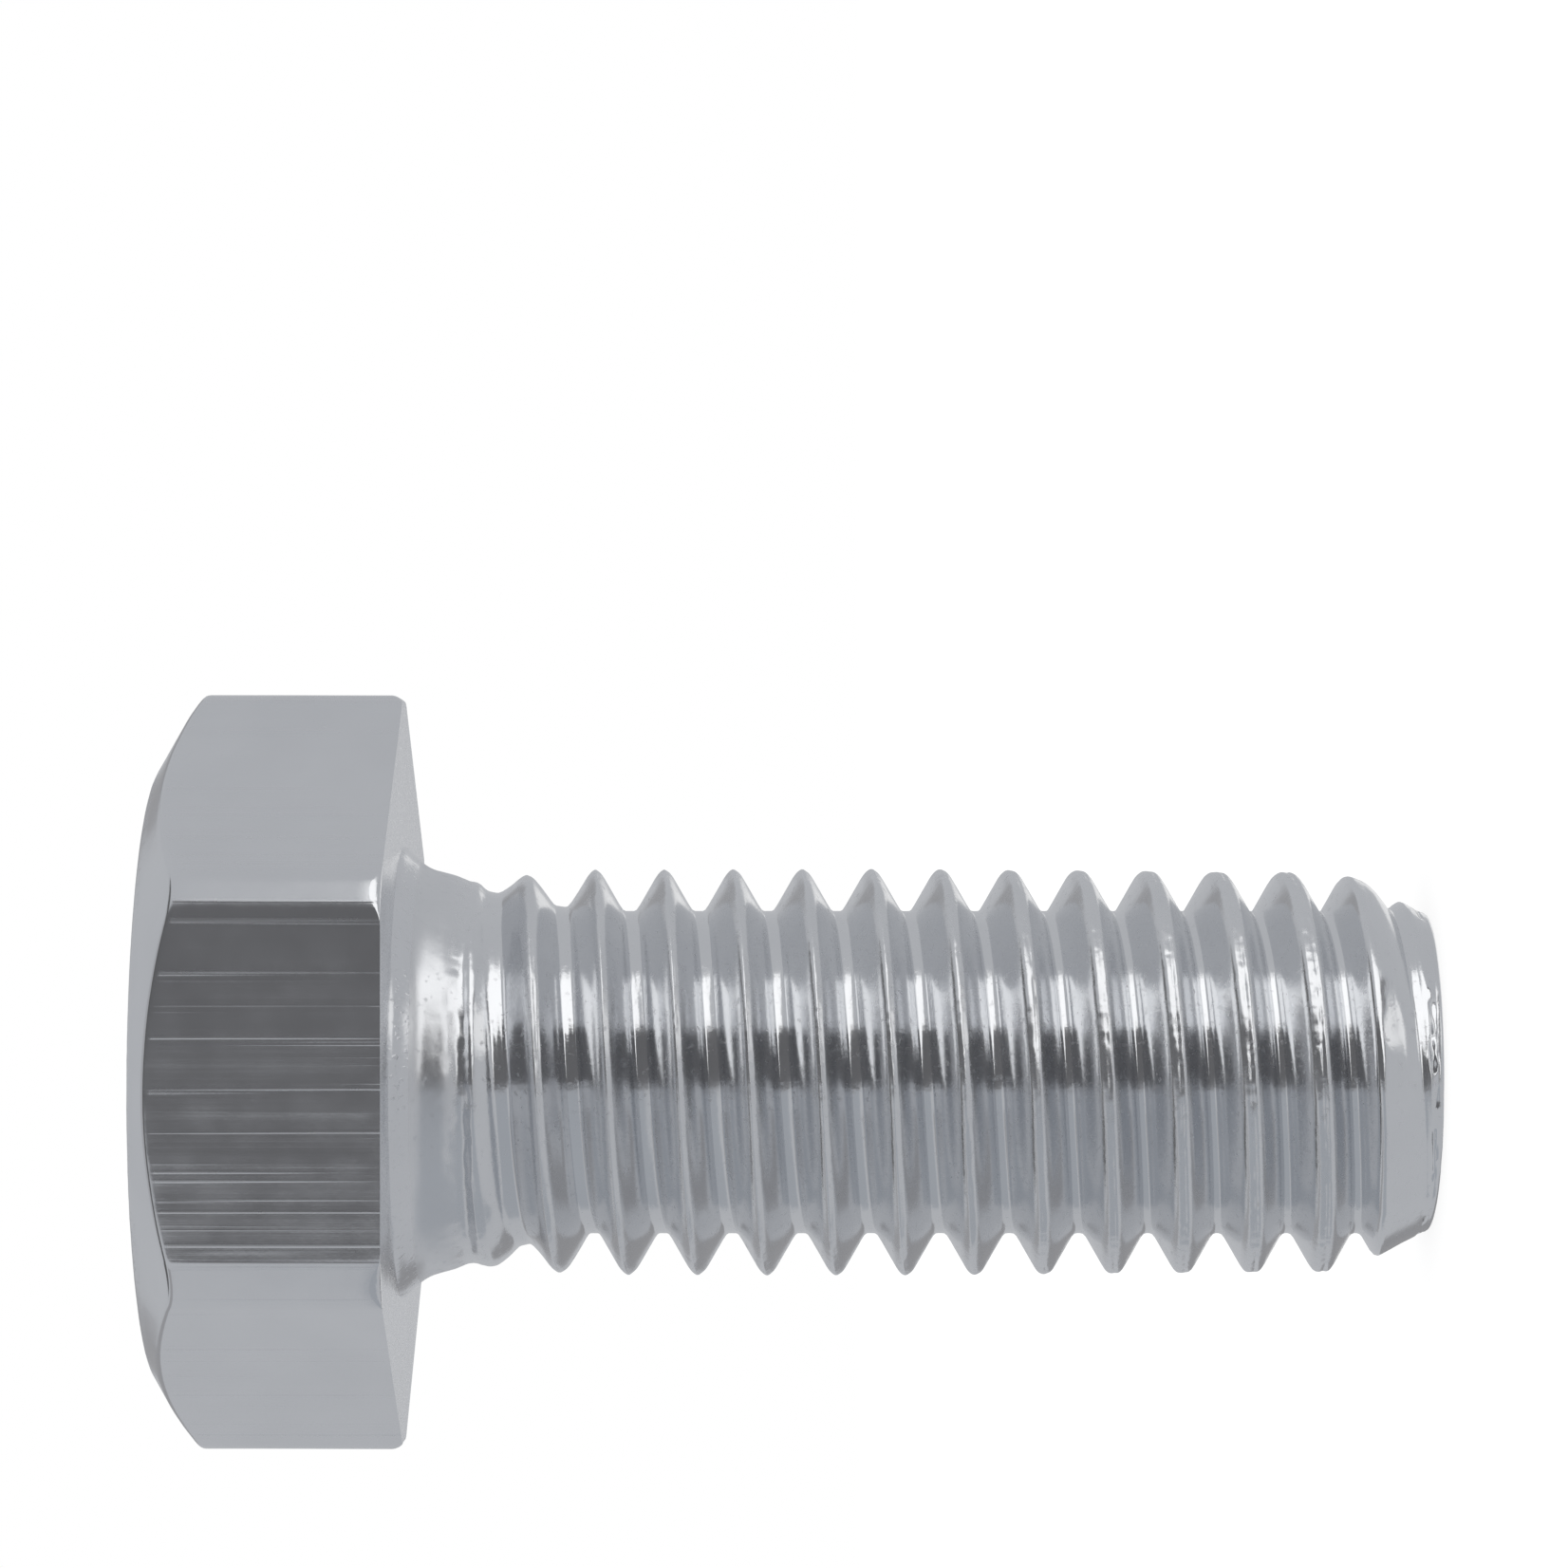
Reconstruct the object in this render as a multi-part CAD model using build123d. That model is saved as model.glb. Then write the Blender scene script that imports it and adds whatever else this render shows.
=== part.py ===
"""Hex bolt, M6 x 1.0 x 15, threaded along its whole length.

The bolt stands on the tip of its thread, head up. The origin is the centre of the bearing face
under the head, and +Z runs up through the head. One pair of wrench flats faces +Y and -Y.

A real bolt is one piece of steel: cold-forged, then thread-rolled. It is written here as the five
regions that such a piece has, one solid each, and they meet face to face.
"""

import math
import os

from build123d import *

# Driving dimensions, in millimetres and degrees
PITCH = 1.0
MAJOR_DIAMETER = 5.88
MINOR_DIAMETER = 4.66
SHANK_LENGTH = 14.8
ACROSS_FLATS = 9.65
HEAD_HEIGHT = 3.63

# Thread form: a 60 degree profile, with a flat along the crest and another along the root
CREST_FLAT = 0.22
ROOT_FLAT = 0.08
FIRST_CREST_DEPTH = 2.77  # below the bearing face, on the +X side
FLANK_POINTS = 7  # that each flank's spiral is drawn through

# Head details
CORNER_RADIUS = 0.34  # on the six corners of the hexagon
CHAMFER_ANGLE = 30.0  # of the top chamfer, from the end face
END_FACE_DIAMETER = 0.91 * ACROSS_FLATS
CORNER_TRIM_WIDTH = 0.22  # how far the lower corners are cut back
CORNER_TRIM_HEIGHT = 0.33
UNDERHEAD_FILLET = 0.26

# Shank details, as depths below the bearing face
NECK_DIAMETER = 5.74
NECK_END = 0.95
RUNOUT_END = 2.2  # where the groove has reached its full depth
POINT_START = 13.85
TIP_DIAMETER = 4.6

MAJOR_RADIUS = MAJOR_DIAMETER / 2
MINOR_RADIUS = MINOR_DIAMETER / 2
NECK_RADIUS = NECK_DIAMETER / 2


def ring_solid(*profile):
    """A solid of revolution about the axis, from (radius, height) corners."""
    corners = [(radius, 0, height) for radius, height in profile]
    return revolve(make_face(Polyline(*corners, close=True)), Axis.Z)


def hexagon():
    """The head's outline, with corners on +X and -X, and each corner rounded."""
    outline = RegularPolygon(ACROSS_FLATS / 2, 6, major_radius=False)
    return fillet(outline.vertices(), CORNER_RADIUS)


def head_envelope():
    """The turned form that cuts the hexagon's corners: chamfered above, trimmed below."""
    corner = ACROSS_FLATS / math.sqrt(3)
    end_radius = END_FACE_DIAMETER / 2
    drop = (corner - end_radius) * math.tan(math.radians(CHAMFER_ANGLE))
    return ring_solid(
        (0, 0),
        (corner - CORNER_TRIM_WIDTH, 0),
        (corner, CORNER_TRIM_HEIGHT),
        (corner, HEAD_HEIGHT - drop),
        (end_radius, HEAD_HEIGHT),
        (0, HEAD_HEIGHT),
    )


def underhead_fillet():
    """The collar that carries the neck into the bearing face on a concave quarter round."""
    foot = NECK_RADIUS + UNDERHEAD_FILLET
    waist = (NECK_RADIUS, 0, -UNDERHEAD_FILLET)
    inside = Polyline((foot, 0, 0), (0, 0, 0), (0, 0, -UNDERHEAD_FILLET), waist)
    sagitta = UNDERHEAD_FILLET * (1 - math.sqrt(0.5))
    curve = ThreePointArc(waist, (NECK_RADIUS + sagitta, 0, -sagitta), (foot, 0, 0))
    return revolve(make_face(inside + curve), Axis.Z)


def hex_head():
    prism = extrude(hexagon(), HEAD_HEIGHT)
    return (prism & head_envelope()) + underhead_fillet()


def plain_neck():
    """The stretch between the head and the start of the thread."""
    blank = extrude(Circle(NECK_RADIUS), NECK_END - UNDERHEAD_FILLET)
    return Pos(0, 0, -NECK_END) * blank


def thread_section():
    """The thread's cross-section, square to the axis, with the middle of the crest on +X.

    The crest and the root are arcs about the axis. Each flank is straight along the bolt, so it is
    a spiral here, whose radius falls evenly with the angle.
    """
    crest_end = math.pi * CREST_FLAT / PITCH
    root_start = math.pi * (1 - ROOT_FLAT / PITCH)
    flank = []
    for step in range(FLANK_POINTS):
        share = step / (FLANK_POINTS - 1)
        radius = MAJOR_RADIUS + (MINOR_RADIUS - MAJOR_RADIUS) * share
        angle = crest_end + (root_start - crest_end) * share
        flank.append((radius * math.cos(angle), radius * math.sin(angle)))
    crest_sweep = math.degrees(crest_end)
    root_sweep = 180 - math.degrees(root_start)
    outline = CenterArc((0, 0), MAJOR_RADIUS, -crest_sweep, 2 * crest_sweep)
    outline += CenterArc((0, 0), MINOR_RADIUS, 180 - root_sweep, 2 * root_sweep)
    outline += Spline(*flank)
    outline += Spline(*[(x, -y) for x, y in flank])
    return make_face(outline)


def thread_between(upper_depth, lower_depth):
    """Full right-hand thread between two depths: the section rises and turns once in each pitch."""
    length = lower_depth - upper_depth
    phase = 360 * (FIRST_CREST_DEPTH - lower_depth) / PITCH
    start = (Rot(0, 0, phase) * thread_section()).face()
    turn = 360 * length / PITCH
    twisted = Solid.extrude_linear_with_rotation(start, (0, 0, 0), (0, 0, length), turn)
    return Part() + Pos(0, 0, -lower_depth) * twisted


def thread_runout():
    """The groove's first turn, which gets deeper as it leaves the neck."""
    swelling = ring_solid(
        (0, -NECK_END),
        (NECK_RADIUS, -NECK_END),
        (MAJOR_RADIUS, -RUNOUT_END),
        (0, -RUNOUT_END),
    )
    groove_floor = ring_solid(
        (0, -NECK_END),
        (NECK_RADIUS, -NECK_END),
        (MINOR_RADIUS, -RUNOUT_END),
        (0, -RUNOUT_END),
    )
    return (thread_between(NECK_END, RUNOUT_END) & swelling) + groove_floor


def chamfered_point():
    """The last turn, tapered so that it enters a nut."""
    taper = ring_solid(
        (0, -POINT_START),
        (MAJOR_RADIUS, -POINT_START),
        (TIP_DIAMETER / 2, -SHANK_LENGTH),
        (0, -SHANK_LENGTH),
    )
    return thread_between(POINT_START, SHANK_LENGTH) & taper


def write(name, shape):
    shape.label = name
    export_step(shape, f"parts/{name}.step")


def main():
    os.makedirs("parts", exist_ok=True)
    write("hex_head", hex_head())
    write("plain_neck", plain_neck())
    write("thread_runout", thread_runout())
    write("threaded_shank", thread_between(RUNOUT_END, POINT_START))
    write("chamfered_point", chamfered_point())


main()
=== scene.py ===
"""A zinc-plated hex bolt: the visual model and its studio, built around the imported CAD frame.

Lengths are in millimetres until a mesh is made. Depth is the distance below the bearing face.
Angles on the bolt run from +X towards +Y. A reflector's azimuth runs from -Y towards +X.
"""
import math

import bmesh
import bpy
import numpy as np
from mathutils import Matrix, Vector

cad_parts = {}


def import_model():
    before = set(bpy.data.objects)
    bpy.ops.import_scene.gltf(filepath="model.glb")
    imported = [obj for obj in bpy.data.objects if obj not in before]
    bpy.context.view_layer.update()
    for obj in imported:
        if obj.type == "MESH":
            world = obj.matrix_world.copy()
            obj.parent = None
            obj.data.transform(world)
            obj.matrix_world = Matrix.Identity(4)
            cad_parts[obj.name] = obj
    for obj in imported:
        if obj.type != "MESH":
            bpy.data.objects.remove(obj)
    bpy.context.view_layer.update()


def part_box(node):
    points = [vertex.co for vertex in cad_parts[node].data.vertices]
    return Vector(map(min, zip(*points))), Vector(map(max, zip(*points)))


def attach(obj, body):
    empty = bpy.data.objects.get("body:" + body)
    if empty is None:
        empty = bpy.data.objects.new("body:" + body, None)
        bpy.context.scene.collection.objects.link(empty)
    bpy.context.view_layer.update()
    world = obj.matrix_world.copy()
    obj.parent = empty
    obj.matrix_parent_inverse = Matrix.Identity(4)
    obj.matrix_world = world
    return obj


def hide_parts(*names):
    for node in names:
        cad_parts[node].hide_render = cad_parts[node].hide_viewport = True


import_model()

MM = 0.001
TURN = 2 * math.pi


def corners_mm(node):
    """A CAD node's lowest and highest corners, in millimetres."""
    low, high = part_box(node)
    return low / MM, high / MM


# ---------------------------------------------------------------- dimensions
head_low, head_high = corners_mm("hex_head")
FLAT_DISTANCE = head_high.y
HEAD_TOP = head_high.z
HEAD_END = -head_low.z
NECK_END = -corners_mm("plain_neck")[0].z
RUNOUT_END = -corners_mm("thread_runout")[0].z
POINT_START = -corners_mm("threaded_shank")[0].z
TIP_DEPTH = -corners_mm("chamfered_point")[0].z
MAJOR_RADIUS = corners_mm("threaded_shank")[1].y

# Thread, as in the CAD model: the crest on the +X side is this deep, and one pitch further each turn.
PITCH = 1.0
FIRST_CREST = 2.77
ROOT_RADIUS = 2.33
FLANK_WIDTH = 0.35
ROOT_ROUNDING = 0.07
POINT_ROUNDING = 0.17

# Radii along the shank, as (depth, radius): the neck, the crest before it is flattened, and the root.
NECK_LINE = [(0.0, 3.28), (0.15, 3.13), (0.30, 3.00), (0.42, 2.935)]
NECK_LINE += [(0.72, 2.86), (0.95, 2.755), (1.10, 2.69)]
NECK_EASE = 0.05
THREAD_FADES_IN = (0.9, 1.15)
CREST_LINE = [(0.98, 2.80), (1.30, 2.82), (1.80, 2.86), (2.60, MAJOR_RADIUS)]
ROOT_LINE = [(0.98, 2.80), (1.20, 2.62), (1.50, 2.56), (2.00, 2.44), (2.70, ROOT_RADIUS)]
ROOT_LINE += [(14.1, ROOT_RADIUS), (14.6, 2.46)]
ROOT_FLAT_LINE = [(3.0, 0.20), (8.0, 0.17), (11.0, 0.13)]
FLATTENED_LINE = [(7.0, MAJOR_RADIUS), (10.0, MAJOR_RADIUS - 0.03), (13.5, MAJOR_RADIUS - 0.06)]
CREST_ROUNDING_LINE = [(3.0, 0.16), (6.5, 0.13), (9.5, 0.11)]
POINT_LINE = [(13.0, MAJOR_RADIUS + 0.25), (13.55, MAJOR_RADIUS), (TIP_DEPTH, 2.27)]
TIP_ROUNDING = 0.09
TIP_CUP = 0.10

# Head
CORNER_RADII = (0.75, 0.40, 0.40, 0.75, 0.85, 0.85)
END_CIRCLE = 4.39
END_CIRCLE_OFFSET = 0.05
END_CIRCLE_DROP = 0.12
CHAMFER_SLOPE = math.tan(math.radians(30))
TRIM_RADIUS = 5.37
TRIM_SLOPE = 1.5
TRIM_ROUNDING = 0.05
DISC_RADIUS = 2.65

# Mesh
HEAD_COLUMNS = 640
SHANK_COLUMNS = 320
SNAP = 0.006
NORMAL_STEP = 0.003
SHARP_ANGLE = math.radians(50)

# ---------------------------------------------------------------- shared mathematics
LATTICE_SIZE = 32
LATTICE = np.random.default_rng(11).uniform(-1, 1, (LATTICE_SIZE,) * 3)


def noise(x, y, z, size, shift=0.0):
    """Smooth noise from -1 to 1, with features of this size: one number, or one for each axis."""
    sizes = np.broadcast_to(size, 3)
    places = [np.asarray(axis, float) / step + shift for axis, step in zip((x, y, z), sizes)]
    places = np.broadcast_arrays(*places)
    cells = [np.floor(place).astype(int) for place in places]
    parts = [place - cell for place, cell in zip(places, cells)]
    parts = [part * part * (3 - 2 * part) for part in parts]
    total = 0.0
    for i in (0, 1):
        for j in (0, 1):
            for k in (0, 1):
                weight = 1.0
                for step, part in zip((i, j, k), parts):
                    weight = weight * (part if step else 1 - part)
                index = [(cell + step) % LATTICE_SIZE for cell, step in zip(cells, (i, j, k))]
                total = total + weight * LATTICE[tuple(index)]
    return total


def smooth_min(a, b, rounding):
    """The smaller of two values, with the corner rounded only where they differ by less than the rounding."""
    near = np.maximum(rounding - np.abs(a - b), 0) / rounding
    return np.minimum(a, b) - near**2 * rounding / 4


def smooth_max(a, b, rounding):
    """The larger of two values, with the corner rounded in the same way."""
    return -smooth_min(-a, -b, rounding)


def along(line, depth, ease=0.0):
    """The value at a depth on a line of (depth, value) points, with its corners eased over a distance."""
    depths, values = zip(*line)
    shifts = np.linspace(-ease, ease, 9) if ease else [0.0]
    return sum(np.interp(depth + shift, depths, values) for shift in shifts) / len(shifts)


def bump(value, centre, width):
    """A smooth hill of height 1 around a centre."""
    return np.exp(-(((value - centre) / width) ** 2))


def step_up(value, low, high):
    """0 below low, 1 above high and smooth between."""
    part = np.clip((value - low) / (high - low), 0, 1)
    return part * part * (3 - 2 * part)


# ---------------------------------------------------------------- meshes
def make_piece(name, vertices, triangles, caps, material, normals=None):
    """A closed smooth-shaded mesh in place of the CAD node of the same name.

    Its last triangles, the caps, are flat. The normals are for the first vertices, and the other
    vertices get Blender's own.
    """
    used, triangles = np.unique(triangles, return_inverse=True)
    vertices = vertices[used]
    triangles = triangles.reshape(-1, 3)
    a, b, c = (vertices[triangles[:, k]] for k in range(3))
    if np.einsum("ij,ij->i", a, np.cross(b, c)).sum() < 0:
        triangles = triangles[:, ::-1]
    mesh = bpy.data.meshes.new(name)
    mesh.from_pydata((vertices * MM).tolist(), [], triangles.tolist())
    mesh.set_sharp_from_angle(angle=SHARP_ANGLE)
    mesh.polygons.foreach_set("use_smooth", [True] * (len(triangles) - caps) + [False] * caps)
    if normals is not None:
        spare = np.zeros((used.max() + 1 - len(normals), 3))
        at_corners = np.concatenate([normals, spare])[used][triangles]
        at_corners[-caps:] = 0
        at_corners[~at_corners.any(axis=2).all(axis=1)] = 0
        mesh.normals_split_custom_set(at_corners.reshape(-1, 3).tolist())
    mesh.materials.append(material)
    piece = bpy.data.objects.new(name + "_finish", mesh)
    bpy.context.collection.objects.link(piece)
    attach(piece, "root")
    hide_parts(name)
    return piece


def quads_to_triangles(a, b, c, d):
    """Two triangles for each quad, without those that clamping has closed up."""
    halves = [np.stack(corners, -1).reshape(-1, 3) for corners in ((a, b, c), (a, c, d))]
    triangles = np.concatenate(halves)
    first, second, third = triangles.T
    return triangles[(first != second) & (second != third) & (third != first)]


def fan(ring, centre):
    """Triangles from a ring of vertices to its centre."""
    return np.stack([ring, np.roll(ring, -1), np.full(len(ring), centre)], -1)


# ---------------------------------------------------------------- shank
def shank_radius(angle, depth):
    """The neck, run-out, thread and point as one function, so that the pieces meet without a step."""
    x = MAJOR_RADIUS * np.cos(angle)
    y = MAJOR_RADIUS * np.sin(angle)
    turns = (depth - FIRST_CREST) / PITCH + angle / TURN
    across = (turns - np.round(turns)) * PITCH
    from_root = PITCH / 2 - np.abs(across)
    root = along(ROOT_LINE, depth, NECK_EASE)
    crest = along(CREST_LINE, depth, NECK_EASE)
    tall = crest - root + 1e-6
    share = tall / (MAJOR_RADIUS - ROOT_RADIUS)
    sharp_root = root - tall * (along(ROOT_FLAT_LINE, depth) / 2) / FLANK_WIDTH
    thread = sharp_root + tall * from_root / FLANK_WIDTH
    thread = smooth_max(thread, root, ROOT_ROUNDING * share)
    top = np.minimum(crest, along(FLATTENED_LINE, depth)) + 0.006 * noise(x, y, -depth, 0.9)
    thread = smooth_min(thread, top, along(CREST_ROUNDING_LINE, depth) * share)
    thread = thread - crest_lap(x, y, across, depth) + rolling_marks(x, y, across, depth)
    neck = along(NECK_LINE, depth, NECK_EASE) + 0.008 * noise(x, y, -depth, (0.5, 0.5, 0.35), 5.0)
    ripples = 0.005 * noise(x, y, -depth, 0.11, 6.0) + 0.010 * noise(x, y, -depth, (0.30, 0.30, 0.16), 1.0)
    torn = bump(depth, 0.85, 0.30) * ripples
    blend = step_up(depth, *THREAD_FADES_IN)
    radius = neck * (1 - blend) + thread * blend + torn
    point = along(POINT_LINE, depth) + 0.006 * noise(x, y, -depth, (0.4, 0.4, 0.2), 3.0)
    point = point - burr(x, y, depth)
    above_point = depth <= POINT_LINE[0][0]
    return smooth_min(radius, np.where(above_point, radius + 1.0, point), POINT_ROUNDING)


def shank_normals(angle, depth):
    """The shank's outward normals, from its radius a little way off on each side."""
    radius = shank_radius(angle, depth)
    turn = NORMAL_STEP / radius
    around = shank_radius(angle + turn, depth) - shank_radius(angle - turn, depth)
    down = shank_radius(angle, depth + NORMAL_STEP) - shank_radius(angle, depth - NORMAL_STEP)
    around, down = around / (2 * NORMAL_STEP), down / (2 * NORMAL_STEP)
    x = np.cos(angle) + around * np.sin(angle)
    y = np.sin(angle) - around * np.cos(angle)
    normals = np.stack([x, y, down], -1)
    return normals / np.linalg.norm(normals, axis=-1, keepdims=True)


def crest_lap(x, y, across, depth):
    """The fine closed-up seam that rolling leaves along a crest, ragged and deeper towards the tip."""
    ragged = 0.5 + 0.5 * noise(x, y, -depth, 0.22, 9.0)
    wander = 0.035 + 0.03 * noise(x, y, -depth, 1.3, 2.0)
    strength = along([(2.5, 0.010), (8.0, 0.014), (13.0, 0.022)], depth)
    return strength * ragged * bump(across, wander, 0.03)


def burr(x, y, depth):
    """The ragged step that shearing and rolling leave just inside the tip."""
    place = TIP_DEPTH - 0.15 + 0.05 * noise(x, y, 0.0, 0.5, 7.0)
    ragged = step_up(noise(x, y, -depth, (0.35, 0.35, 0.08), 2.0), -0.3, 0.5)
    return 0.035 * bump(depth, place, 0.03) * ragged


def rolling_marks(x, y, across, depth):
    """Fine lines that the rolling dies draw along the thread, and the grain of the plating."""
    drawn = noise(x, y, across / PITCH + 0.5, (1.1, 1.1, 1 / LATTICE_SIZE))
    grain = noise(x, y, -depth, 0.09, 4.0)
    crest_grain = bump(across, 0.0, 0.10) * along([(2.5, 0.002), (8.0, 0.004), (13.0, 0.007)], depth)
    return 0.0012 * drawn + (0.0006 + crest_grain) * grain


def thread_rows():
    """Places of the grid's rows within one pitch, closer together on the crest and in the root."""
    crest_rows = np.linspace(-0.13, 0.13, 12)
    flank_rows = np.linspace(0.18, 0.40, 5)
    root_rows = np.linspace(0.44, 0.56, 4)
    return np.concatenate([crest_rows, flank_rows, root_rows, 1 - flank_rows[::-1]])


def shank_piece(name, start, end, material, end_rings=()):
    """One stretch of the shank: a grid sheared along the helix, cut off square at both ends.

    Vertices nearer to an end than SNAP are moved onto it. The end rings are (radius, depth), and
    close the lower end in place of a flat cap.
    """
    fractions = thread_rows()
    per_turn = len(fractions)
    first = math.floor(start - FIRST_CREST) - 1
    last = math.ceil(end - FIRST_CREST) + 2
    rows = np.concatenate([turn + fractions for turn in range(first, last)])
    angles = np.arange(SHANK_COLUMNS) * TURN / SHANK_COLUMNS
    depth = FIRST_CREST + (rows[:, None] - angles[None, :] / TURN) * PITCH
    angle = np.broadcast_to(angles, depth.shape)

    count = depth.size
    index = np.arange(count).reshape(depth.shape)
    columns = np.arange(SHANK_COLUMNS)
    top_ring = count + columns
    bottom_ring = count + SHANK_COLUMNS + columns
    index = np.where(depth < start + SNAP, top_ring[None, :], index)
    index = np.where(depth > end - SNAP, bottom_ring[None, :], index)
    closing = np.concatenate([np.full(per_turn, top_ring[0]), index[:-per_turn, 0]])
    index = np.concatenate([index, closing[:, None]], axis=1)

    all_depths = np.concatenate([depth.ravel(), np.full(SHANK_COLUMNS, start), np.full(SHANK_COLUMNS, end)])
    all_angles = np.concatenate([angle.ravel(), angles, angles])
    radius = shank_radius(all_angles, all_depths)
    vertices = [np.stack([radius * np.cos(all_angles), radius * np.sin(all_angles), -all_depths], -1)]
    triangles = [quads_to_triangles(index[:-1, :-1], index[1:, :-1], index[1:, 1:], index[:-1, 1:])]

    ring = bottom_ring
    total = count + 2 * SHANK_COLUMNS
    for ring_radius, ring_depth in end_rings:
        vertices.append(ring_vertices(ring_radius, angles, ring_depth))
        following = total + columns
        triangles.append(quads_to_triangles(ring, following, np.roll(following, -1), np.roll(ring, -1)))
        ring = following
        total += SHANK_COLUMNS
    centre_depth = end_rings[-1][1] if end_rings else end
    vertices.append(np.array([[0, 0, -start], [0, 0, -np.mean(centre_depth)]]))
    triangles.append(fan(top_ring, total))
    triangles.append(fan(ring, total + 1)[:, ::-1])
    vertices = np.concatenate(vertices)
    triangles = np.concatenate(triangles)
    normals = shank_normals(all_angles, all_depths)
    return make_piece(name, vertices, triangles, 2 * SHANK_COLUMNS, material, normals)


def ring_vertices(radius, angles, depth):
    """A ring of points round the axis, one at each angle."""
    radius = np.broadcast_to(radius, angles.shape)
    depth = np.broadcast_to(depth, angles.shape)
    return np.stack([radius * np.cos(angles), radius * np.sin(angles), -depth], -1)


def tip_rings():
    """The rounded edge of the tip and its slightly cupped, rough end face."""
    angles = np.arange(SHANK_COLUMNS) * TURN / SHANK_COLUMNS
    edge = shank_radius(angles, np.full(SHANK_COLUMNS, TIP_DEPTH - TIP_ROUNDING))
    rings = []
    for turn in np.linspace(0.25, 1, 4) * math.pi / 2:
        ring_depth = TIP_DEPTH - TIP_ROUNDING * (1 - math.sin(turn))
        rings.append((edge - TIP_ROUNDING * (1 - math.cos(turn)), ring_depth))
    for share in (0.97, 0.93, 0.88, 0.8, 0.7, 0.6, 0.5, 0.4, 0.3, 0.2, 0.1):
        radius = (edge - TIP_ROUNDING) * share
        cup = TIP_CUP * (1 - share**2) ** 0.5
        rough = 0.012 * noise(radius * np.cos(angles), radius * np.sin(angles), 0.0, 0.35)
        rings.append((radius, TIP_DEPTH - cup + rough * (1 - share)))
    return rings


# ---------------------------------------------------------------- head
def hexagon_radius(angle):
    """The distance from the axis to the side of the hexagon, with rounded corners."""
    sector = TURN / 6
    from_flat = (angle % sector) - sector / 2
    flat = FLAT_DISTANCE / np.cos(from_flat)
    from_corner = sector / 2 - np.abs(from_flat)
    rounding = np.array(CORNER_RADII)[np.round(angle / sector).astype(int) % 6]
    pivot = (FLAT_DISTANCE - rounding) / math.cos(sector / 2)
    reach = np.maximum(rounding**2 - (pivot * np.sin(from_corner)) ** 2, 0)
    corner = pivot * np.cos(from_corner) + np.sqrt(reach)
    on_flat = np.abs(np.tan(from_flat)) * FLAT_DISTANCE < (FLAT_DISTANCE - rounding) * math.tan(sector / 2)
    return np.where(on_flat, flat, corner)


def rounded_profile(points, cuts, rows):
    """Rows of (radius, height) along a line through the points, with its corners eased by quadratic arcs.

    A corner is cut back by its own cut, or less where that would use up the line on either side.
    """
    most = 0.45
    line = []
    start = points[0]
    for k in range(1, len(points)):
        incoming = points[k] - points[k - 1]
        length = np.linalg.norm(incoming, axis=0)
        unit = incoming / np.maximum(length, 1e-9)
        cut = np.minimum(cuts[k], most * length)
        if k < len(points) - 1:
            outgoing = points[k + 1] - points[k]
            out_length = np.linalg.norm(outgoing, axis=0)
            out_unit = outgoing / np.maximum(out_length, 1e-9)
            cut = np.minimum(cut, most * out_length)
        before = points[k] - unit * cut
        for share in np.linspace(0, 1, rows[k], endpoint=False):
            line.append(start + (before - start) * share)
        if k == len(points) - 1:
            line.append(points[k])
            break
        after = points[k] + out_unit * cut
        for share in (0.0, 0.25, 0.5, 0.75):
            line.append(before * (1 - share) ** 2 + points[k] * 2 * share * (1 - share) + after * share**2)
        start = after
    return np.array(line)


def head_piece(material):
    """The head and its underhead fillet: one profile for each angle, from the end face down to the neck."""
    angles = np.arange(HEAD_COLUMNS) * TURN / HEAD_COLUMNS
    side = hexagon_radius(angles)
    ones = np.ones(HEAD_COLUMNS)
    circle = END_CIRCLE - END_CIRCLE_OFFSET * np.cos(angles + math.radians(40))
    circle = circle + 0.012 * noise(4 * np.cos(angles), 4 * np.sin(angles), 0.0, 0.5)
    foot = smooth_min(side, TRIM_RADIUS * ones, TRIM_ROUNDING)
    rim = HEAD_TOP - END_CIRCLE_DROP
    points = [
        np.array([0.02 * ones, rim * ones]),
        np.array([circle, rim * ones]),
        np.array([side, rim - (side - circle) * CHAMFER_SLOPE]),
        np.array([side, TRIM_SLOPE * (side - foot)]),
        np.array([foot, 0 * ones]),
        np.array([shank_radius(angles, 0 * ones), 0 * ones]),
    ]
    cuts = [0, 0.05, 0.07, 0.06, 0.10, 0.0]
    rows = [0, 78, 8, 14, 3, 12]
    line = rounded_profile(points, cuts, rows)
    radius = list(line[:, 0])
    height = list(line[:, 1])
    for depth in np.linspace(0, HEAD_END, 8)[1:]:
        radius.append(shank_radius(angles, np.full(HEAD_COLUMNS, depth)))
        height.append(np.full(HEAD_COLUMNS, -depth))
    radius = np.array(radius)
    height = np.array(height)
    x = radius * np.cos(angles)
    y = radius * np.sin(angles)
    end_face = np.arange(len(radius)) < rows[1] + 2
    on_side = (height > 0.05) & ~end_face[:, None]
    height = height + np.where(end_face[:, None], end_face_relief(x, y, radius / circle), 0)
    push = 1 + np.where(on_side, side_relief(x, y, height), 0) / np.maximum(radius, 1)
    vertices = np.stack([x * push, y * push, height], -1).reshape(-1, 3)

    index = np.arange(radius.size).reshape(radius.shape)
    following = np.roll(index, -1, axis=1)
    triangles = [quads_to_triangles(index[:-1], index[1:], following[1:], following[:-1])]
    centre = len(vertices)
    vertices = np.concatenate([vertices, [[0, 0, HEAD_TOP], [0, 0, -HEAD_END]]])
    triangles.append(fan(index[0], centre))
    triangles.append(fan(index[-1], centre + 1)[:, ::-1])
    triangles = np.concatenate(triangles)
    return make_piece("hex_head", vertices, triangles, 2 * HEAD_COLUMNS, material)


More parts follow.
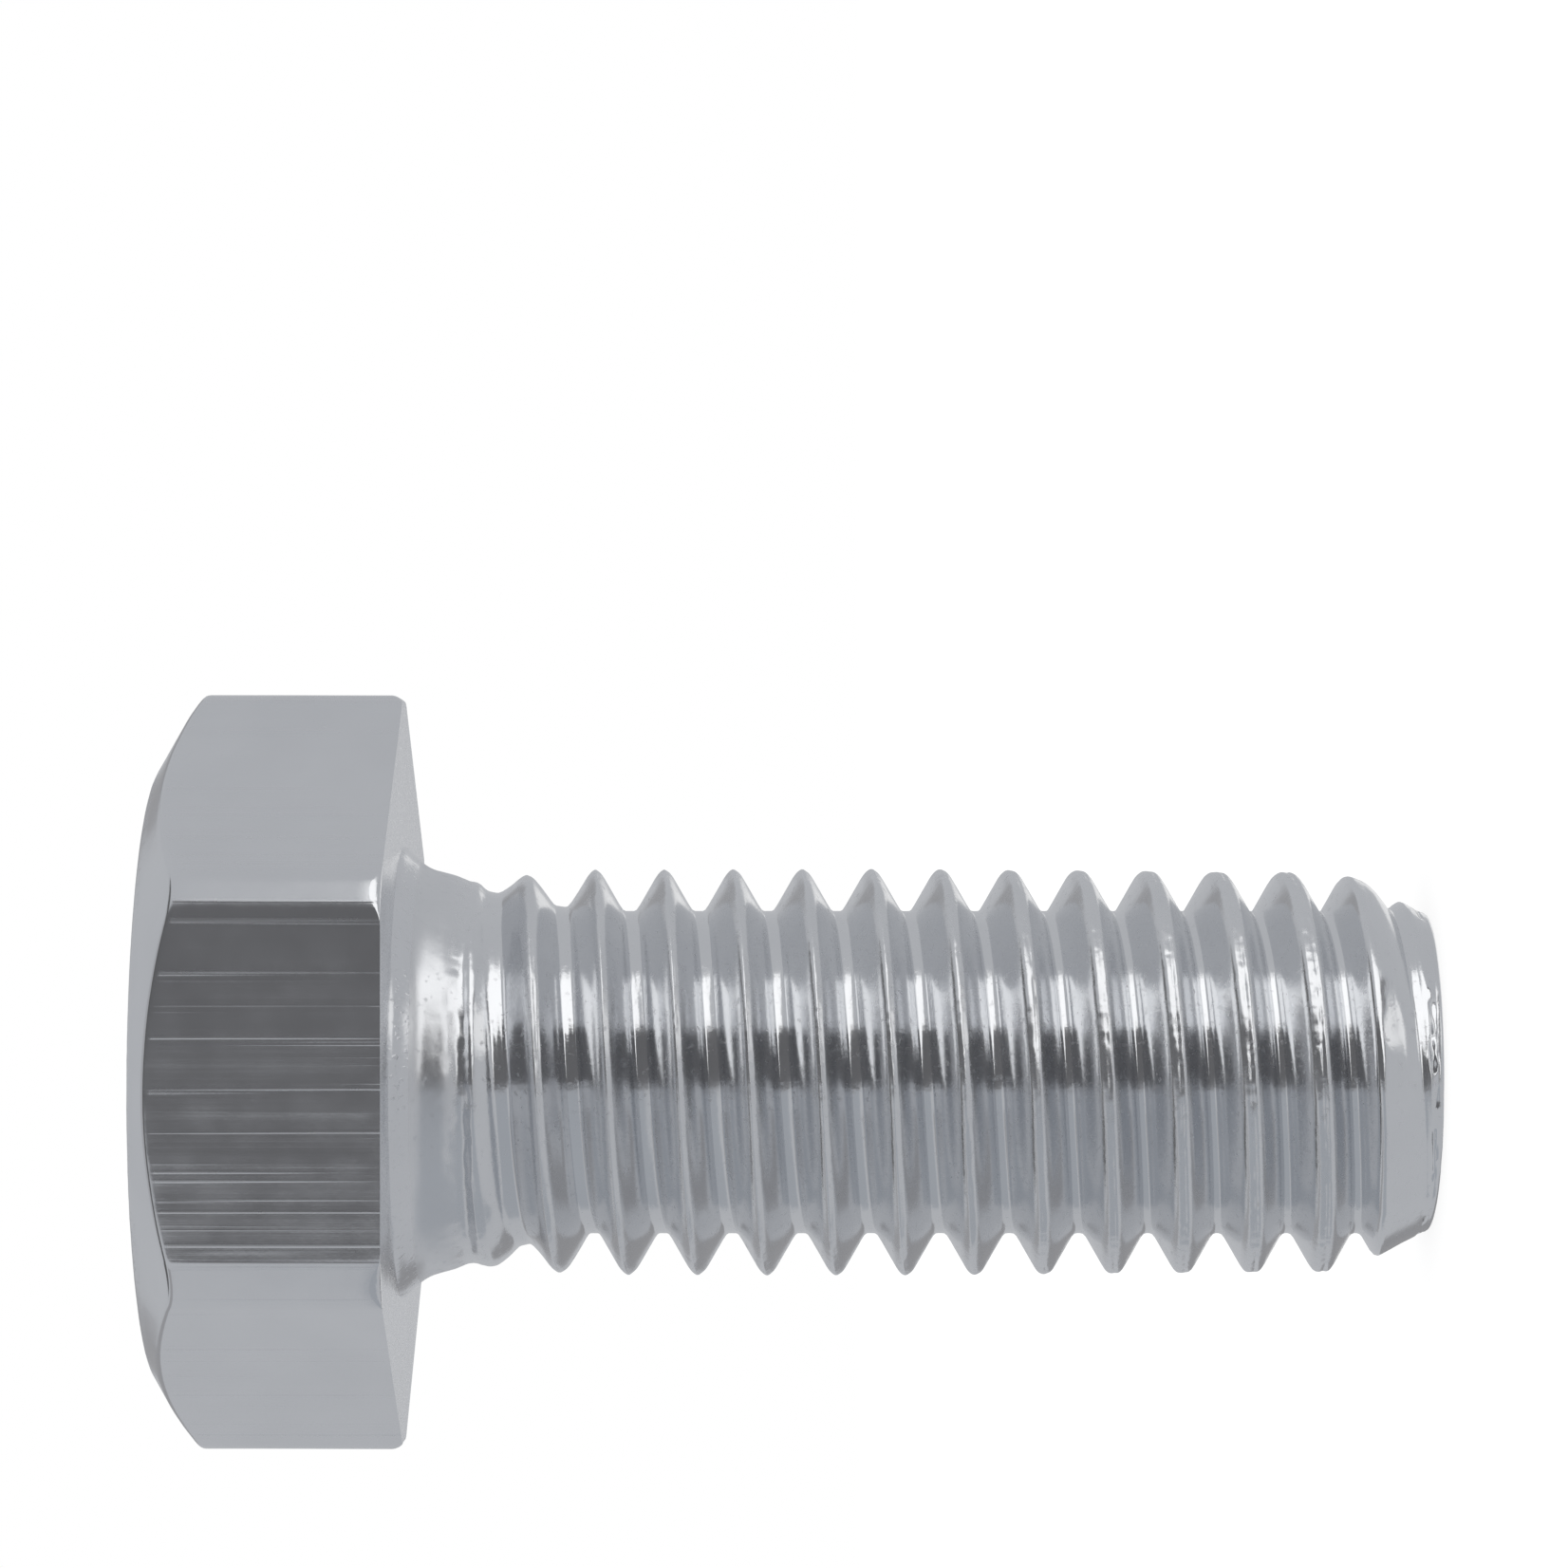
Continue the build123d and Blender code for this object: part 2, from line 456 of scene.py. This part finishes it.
def end_face_relief(x, y, share):
    """The pressed end face: a faint centre disc, a short groove on its edge, pits, nicks and radial flow."""
    radius = np.hypot(x, y)
    angle = np.degrees(np.arctan2(y, x)) % 360
    wavy = radius + 0.15 * noise(x, y, 0.0, 1.0)
    disc = 0.014 * (1 - step_up(wavy, DISC_RADIUS - 0.35, DISC_RADIUS + 0.25))
    groove_angle = step_up(angle, 160, 172) * (1 - step_up(angle, 190, 202))
    groove = 0.028 * bump(radius, DISC_RADIUS + 0.07, 0.06) * groove_angle
    pitted = step_up(noise(x, y, 0.0, 1.6, 8.0) + 0.25 * x - 0.05 * y, -0.2, 0.8)
    clustered = noise(x, y, 0.0, (0.17, 0.12, 1.0), 1.0) + 0.5 * noise(x, y, 0.0, 0.45, 5.0)
    pits = 0.006 * step_up(clustered, 0.45, 0.95) * (0.1 + pitted) * (share < 0.97)
    reach = np.maximum(radius, 0.3)
    flow = 0.003 * noise(x / reach, y / reach, radius, (0.03, 0.03, 1.5))
    flow = flow * step_up(radius, DISC_RADIUS - 0.2, DISC_RADIUS + 0.8)
    swell = 0.006 * noise(x, y, 0.0, 1.7, 6.0)
    from_ragged = np.abs((angle + 25 + 180) % 360 - 180)
    ragged = (1 - step_up(from_ragged, 30, 55)) * (0.5 + 0.5 * noise(x, y, 0.0, 0.12, 3.0))
    edge = bump(share, 0.985, 0.014) * (0.004 + 0.03 * ragged)
    nicks = 0.02 * (bump(angle, 74, 1.2) + bump(angle, 82, 0.8)) * bump(share, 0.96, 0.03)
    dome = END_CIRCLE_DROP * np.clip(1 - share**2, 0, 1)
    relief = disc - groove - pits + flow + swell - edge - nicks
    return dome + relief * step_up(1.0 - share, 0.0, 0.012)


def side_relief(x, y, height):
    """Lines drawn down the flats by the trimming die, and the slight waviness of a pressed surface."""
    drawn = 0.0012 * noise(x, y, height, (0.10, 0.10, 7.0))
    drawn = drawn + 0.0016 * noise(x, y, height, (0.24, 0.24, 9.0), 3.0)
    wave = 0.004 * noise(x, y, height, (1.3, 1.3, 2.2), 7.0)
    scores = 0.003 * step_up(noise(x, y, height, (0.12, 0.12, 2.0), 2.0), 0.60, 0.95)
    return drawn + wave - scores


# ---------------------------------------------------------------- materials
def zinc(name, light, dark, roughness, texture_of):
    """Bright zinc plating, between two colours and two roughnesses.

    texture_of adds the piece's own pattern, and returns sockets for extra roughness and for height.
    """
    material = bpy.data.materials.new(name)
    material.use_nodes = True
    nodes = material.node_tree.nodes
    links = material.node_tree.links
    shader = nodes["Principled BSDF"]
    shader.inputs["Metallic"].default_value = 1.0
    place = nodes.new("ShaderNodeTexCoord").outputs["Object"]

    cloud = add_noise(nodes, links, place, 1.4, detail=5)
    tint = nodes.new("ShaderNodeMix")
    tint.data_type = "RGBA"
    links.new(cloud, tint.inputs["Factor"])
    tint.inputs["A"].default_value = (*dark, 1)
    tint.inputs["B"].default_value = (*light, 1)
    links.new(tint.outputs["Result"], shader.inputs["Base Color"])

    satin = add_noise(nodes, links, place, 0.5, detail=6)
    spread = nodes.new("ShaderNodeMapRange")
    links.new(satin, spread.inputs["Value"])
    spread.inputs["From Min"].default_value = 0.3
    spread.inputs["From Max"].default_value = 0.7
    spread.inputs["To Min"].default_value = roughness[0]
    spread.inputs["To Max"].default_value = roughness[1]
    scratched, height = texture_of(nodes, links, place)
    total = add_math(nodes, links, "ADD", spread.outputs["Result"], scratched)
    links.new(total, shader.inputs["Roughness"])

    relief = nodes.new("ShaderNodeBump")
    relief.inputs["Strength"].default_value = 1.0
    relief.inputs["Distance"].default_value = 0.0012 * MM
    links.new(height, relief.inputs["Height"])
    links.new(relief.outputs["Normal"], shader.inputs["Normal"])
    return material


def add_noise(nodes, links, place, size, detail=2.0, stretch=(1, 1, 1)):
    """A noise texture with features of this size in millimetres, longer along the stretched axes."""
    mapping = nodes.new("ShaderNodeMapping")
    mapping.inputs["Scale"].default_value = [1 / (size * MM * longer) for longer in stretch]
    links.new(place, mapping.inputs["Vector"])
    texture = nodes.new("ShaderNodeTexNoise")
    texture.inputs["Scale"].default_value = 1.0
    texture.inputs["Detail"].default_value = detail
    links.new(mapping.outputs["Vector"], texture.inputs["Vector"])
    return texture.outputs["Fac"]


def add_math(nodes, links, operation, first, second):
    """A sum, product or other result of two inputs, each a number or a socket."""
    node = nodes.new("ShaderNodeMath")
    node.operation = operation
    for socket, value in zip(node.inputs, (first, second)):
        if isinstance(value, (int, float)):
            socket.default_value = value
        else:
            links.new(value, socket)
    return node.outputs["Value"]


def add_threshold(nodes, links, value, low, high, height):
    """0 where the value is below low, and the given height above high."""
    limits = nodes.new("ShaderNodeMapRange")
    links.new(value, limits.inputs["Value"])
    limits.inputs["From Min"].default_value = low
    limits.inputs["From Max"].default_value = high
    limits.inputs["To Min"].default_value = 0.0
    limits.inputs["To Max"].default_value = height
    return limits.outputs["Result"]


def head_texture(nodes, links, place):
    """Long scratches and drawn grain on the sides, a plain chamfer, and a mottled, radial end face."""
    split = nodes.new("ShaderNodeSeparateXYZ")
    links.new(place, split.inputs["Vector"])
    face_starts, face_full = (HEAD_TOP - 0.25) * MM, (HEAD_TOP - 0.20) * MM
    end_face = add_threshold(nodes, links, split.outputs["Z"], face_starts, face_full, 1.0)
    cone = add_math(nodes, links, "MULTIPLY", add_radius(nodes, links, split), CHAMFER_SLOPE)
    cone = add_math(nodes, links, "ADD", cone, split.outputs["Z"])
    chamfer = HEAD_TOP - END_CIRCLE_DROP + CHAMFER_SLOPE * END_CIRCLE
    side_ends, chamfer_full = (chamfer - 0.12) * MM, (chamfer - 0.06) * MM
    off_side = add_threshold(nodes, links, cone, side_ends, chamfer_full, 1.0)
    on_side = add_math(nodes, links, "SUBTRACT", 1.0, off_side)

    drawn = add_noise(nodes, links, place, 0.08, 4, (1, 1, 150))
    scratches = add_noise(nodes, links, place, 0.08, 1, (1, 1, 160))
    scored = add_math(nodes, links, "ADD", drawn, add_threshold(nodes, links, scratches, 0.58, 0.74, 1.8))
    scored = add_math(nodes, links, "MULTIPLY", scored, on_side)
    side_rough = add_threshold(nodes, links, scratches, 0.60, 0.66, 0.12)
    side_rough = add_math(nodes, links, "MULTIPLY", side_rough, on_side)

    mottled = add_noise(nodes, links, place, 0.6, 9)
    end_rough = add_threshold(nodes, links, mottled, 0.35, 0.70, 0.14)
    specks = add_threshold(nodes, links, add_noise(nodes, links, place, 0.11, 2), 0.60, 0.72, -2.2)
    pressed = add_math(nodes, links, "ADD", mottled, specks)
    pressed = add_math(nodes, links, "ADD", pressed, add_radial_noise(nodes, links, place, split))

    grain = add_math(nodes, links, "MULTIPLY", add_noise(nodes, links, place, 0.06, 3), 0.4)
    height = add_math(nodes, links, "ADD", add_blend(nodes, links, end_face, scored, pressed), grain)
    return add_blend(nodes, links, end_face, side_rough, end_rough), height


def add_radius(nodes, links, split):
    """The distance from the bolt's axis."""
    squares = [add_math(nodes, links, "MULTIPLY", split.outputs[axis], split.outputs[axis]) for axis in "XY"]
    return add_math(nodes, links, "SQRT", add_math(nodes, links, "ADD", *squares), 0.0)


def add_blend(nodes, links, share, first, second):
    """One number where the share is 0, and the other where it is 1."""
    mix = nodes.new("ShaderNodeMix")
    for socket, value in (("Factor", share), ("A", first), ("B", second)):
        links.new(value, mix.inputs[socket])
    return mix.outputs["Result"]


def add_radial_noise(nodes, links, place, split):
    """Noise drawn out along the radii of the end face, finer around them than along them."""
    around, outward = 32.0, 0.7 / MM
    flat = nodes.new("ShaderNodeCombineXYZ")
    links.new(split.outputs["X"], flat.inputs["X"])
    links.new(split.outputs["Y"], flat.inputs["Y"])
    spoke = nodes.new("ShaderNodeVectorMath")
    spoke.operation = "NORMALIZE"
    links.new(flat.outputs["Vector"], spoke.inputs[0])
    length = nodes.new("ShaderNodeVectorMath")
    length.operation = "LENGTH"
    links.new(flat.outputs["Vector"], length.inputs[0])
    parts = nodes.new("ShaderNodeSeparateXYZ")
    links.new(spoke.outputs["Vector"], parts.inputs["Vector"])
    polar = nodes.new("ShaderNodeCombineXYZ")
    links.new(add_math(nodes, links, "MULTIPLY", parts.outputs["X"], around), polar.inputs["X"])
    links.new(add_math(nodes, links, "MULTIPLY", parts.outputs["Y"], around), polar.inputs["Y"])
    links.new(add_math(nodes, links, "MULTIPLY", length.outputs["Value"], outward), polar.inputs["Z"])
    texture = nodes.new("ShaderNodeTexNoise")
    texture.inputs["Scale"].default_value = 1.0
    texture.inputs["Detail"].default_value = 3.0
    links.new(polar.outputs["Vector"], texture.inputs["Vector"])
    return texture.outputs["Fac"]


def shank_texture(nodes, links, place):
    """Fine grain with small rough specks, rougher on the crests and on the neck."""
    specks = add_noise(nodes, links, place, 0.10, 3)
    rough = add_threshold(nodes, links, specks, 0.60, 0.70, 0.18)
    split = nodes.new("ShaderNodeSeparateXYZ")
    links.new(place, split.inputs["Vector"])
    radius = add_radius(nodes, links, split)
    crest_starts, crest_full = (MAJOR_RADIUS - 0.20) * MM, (MAJOR_RADIUS - 0.08) * MM
    crest = add_threshold(nodes, links, radius, crest_starts, crest_full, 0.10)
    rough = add_math(nodes, links, "ADD", rough, crest)
    neck_ends, neck_full = -1.3 * MM, -0.9 * MM
    neck = add_threshold(nodes, links, split.outputs["Z"], neck_ends, neck_full, 0.06)
    return add_math(nodes, links, "ADD", rough, neck), add_noise(nodes, links, place, 0.06, 4)


# ---------------------------------------------------------------- studio
def reflector(name, mesh, radiance):
    """Marks a mesh as an evenly lit reflector that is seen only in the metal."""
    material = bpy.data.materials.new(name)
    material.use_nodes = True
    nodes = material.node_tree.nodes
    nodes.clear()
    glow = nodes.new("ShaderNodeEmission")
    glow.inputs["Color"].default_value = (*radiance, 1)
    output = nodes.new("ShaderNodeOutputMaterial")
    material.node_tree.links.new(glow.outputs["Emission"], output.inputs["Surface"])
    mesh.materials.append(material)
    panel = bpy.data.objects.new(name, mesh)
    bpy.context.collection.objects.link(panel)
    panel.visible_camera = False
    panel.visible_diffuse = False
    panel.visible_shadow = False


def card(name, rows, radiance, distance=90.0):
    """A curved reflector round the bolt. Each row is (depth, azimuth of one end, azimuth of the other)."""
    steps = 24
    vertices = []
    for depth, start, end in rows:
        for turn in np.radians(np.linspace(start, end, steps + 1)):
            vertices.append((distance * MM * math.sin(turn), -distance * MM * math.cos(turn), -depth * MM))
    row = steps + 1
    faces = []
    for level in range(len(rows) - 1):
        for k in range(level * row, level * row + steps):
            faces.append((k, k + 1, k + 1 + row, k + row))
    mesh = bpy.data.meshes.new(name)
    mesh.from_pydata(vertices, [], faces)
    reflector(name, mesh, radiance)


def disc(name, depth, radius, radiance):
    """A flat round reflector above or below the bolt."""
    mesh = bpy.data.meshes.new(name)
    panel = bmesh.new()
    bmesh.ops.create_circle(panel, cap_ends=True, segments=64, radius=radius * MM)
    bmesh.ops.translate(panel, verts=panel.verts, vec=(0, 0, -depth * MM))
    panel.to_mesh(mesh)
    panel.free()
    reflector(name, mesh, radiance)


def tent(radiance):
    """A plain light tent round everything."""
    radius = 400 * MM
    mesh = bpy.data.meshes.new("tent")
    shell = bmesh.new()
    bmesh.ops.create_uvsphere(shell, u_segments=48, v_segments=24, radius=radius)
    shell.to_mesh(mesh)
    shell.free()
    reflector("tent", mesh, radiance)


def floor():
    """A plain pale floor under the tip, kept out of the metal's reflections."""
    size = 600 * MM
    depth = -TIP_DEPTH * MM
    mesh = bpy.data.meshes.new("floor")
    vertices = [(-size, -size, depth), (size, -size, depth), (size, size, depth), (-size, size, depth)]
    mesh.from_pydata(vertices, [], [(0, 1, 2, 3)])
    material = bpy.data.materials.new("floor")
    material.use_nodes = True
    shader = material.node_tree.nodes["Principled BSDF"]
    shader.inputs["Base Color"].default_value = (0.30, 0.30, 0.30, 1)
    shader.inputs["Roughness"].default_value = 0.9
    shader.inputs["Specular IOR Level"].default_value = 0.0
    shader.inputs["Emission Color"].default_value = (1, 1, 1, 1)
    shader.inputs["Emission Strength"].default_value = 0.79
    mesh.materials.append(material)
    plane = bpy.data.objects.new("floor", mesh)
    bpy.context.collection.objects.link(plane)
    plane.visible_glossy = False


def world():
    """Plain white, for the background and the floor."""
    scene_world = bpy.data.worlds.new("studio")
    scene_world.use_nodes = True
    background = scene_world.node_tree.nodes["Background"]
    background.inputs["Color"].default_value = (1, 1, 1, 1)
    background.inputs["Strength"].default_value = 1.0
    bpy.context.scene.world = scene_world


def camera():
    """Level with the shank and square to a flat, with the head on the left of the picture."""
    lens = bpy.data.cameras.new("camera")
    lens.sensor_width = 36
    lens.lens = 126.8
    lens.clip_start = 0.005
    lens.clip_end = 5
    eye = bpy.data.objects.new("camera", lens)
    bpy.context.collection.objects.link(eye)
    right, up, back = Vector((0, 0, -1)), Vector((1, 0, 0)), Vector((0, -1, 0))
    turn = Matrix((right, up, back)).transposed().to_4x4()
    place = Vector((4.17, -80.0, -5.5)) * MM
    eye.matrix_world = Matrix.Translation(place) @ turn
    bpy.context.scene.camera = eye


# ---------------------------------------------------------------- the scene
head_zinc = zinc("zinc_head", (0.78, 0.79, 0.81), (0.70, 0.71, 0.73), (0.14, 0.20), head_texture)
shank_zinc = zinc("zinc_shank", (0.80, 0.81, 0.825), (0.71, 0.72, 0.74), (0.12, 0.19), shank_texture)
head_piece(head_zinc)
shank_piece("plain_neck", HEAD_END, NECK_END, shank_zinc)
shank_piece("thread_runout", NECK_END, RUNOUT_END, shank_zinc)
shank_piece("threaded_shank", RUNOUT_END, POINT_START, shank_zinc)
shank_piece("chamfered_point", POINT_START, TIP_DEPTH - TIP_ROUNDING, shank_zinc, tip_rings())

world()
floor()
card("dark_card", [(-200, -8.5, 34), (20, -8.5, 34), (95, -8.5, -6)], (0.135, 0.135, 0.14))
card("softbox", [(-2, -8.5, 75), (104, -8.5, 75)], (1.3, 1.3, 1.3), 95.0)
card("dark_foot", [(104, -8.5, 75), (128, -8.5, 75)], (0.22, 0.22, 0.23), 95.0)
card("low_softbox", [(150, 30, 75), (330, 30, 75)], (1.0, 1.0, 1.0), 95.0)
card("grey_side", [(-3, -110, -10), (75, -110, -10)], (0.40, 0.42, 0.45))
card("grey_top", [(-62, 140, 330), (-28, 140, 330)], (0.36, 0.36, 0.37))
disc("grey_roof", -160, 50, (0.45, 0.45, 0.465))
card("roof_edge", [(-220, -110, 110), (-89, -110, 110)], (0.12, 0.12, 0.12), 80.0)
card("back_softbox", [(44, 158, 190), (240, 158, 190)], (0.90, 0.90, 0.90), 200.0)
card("back_card", [(44, 190, 222), (240, 190, 222)], (0.32, 0.32, 0.33), 200.0)
tent((0.53, 0.54, 0.56))
camera()
view_settings = bpy.context.scene.view_settings
view_settings.view_transform = "Standard"
view_settings.look = "None"
view_settings.exposure = 0
view_settings.gamma = 1
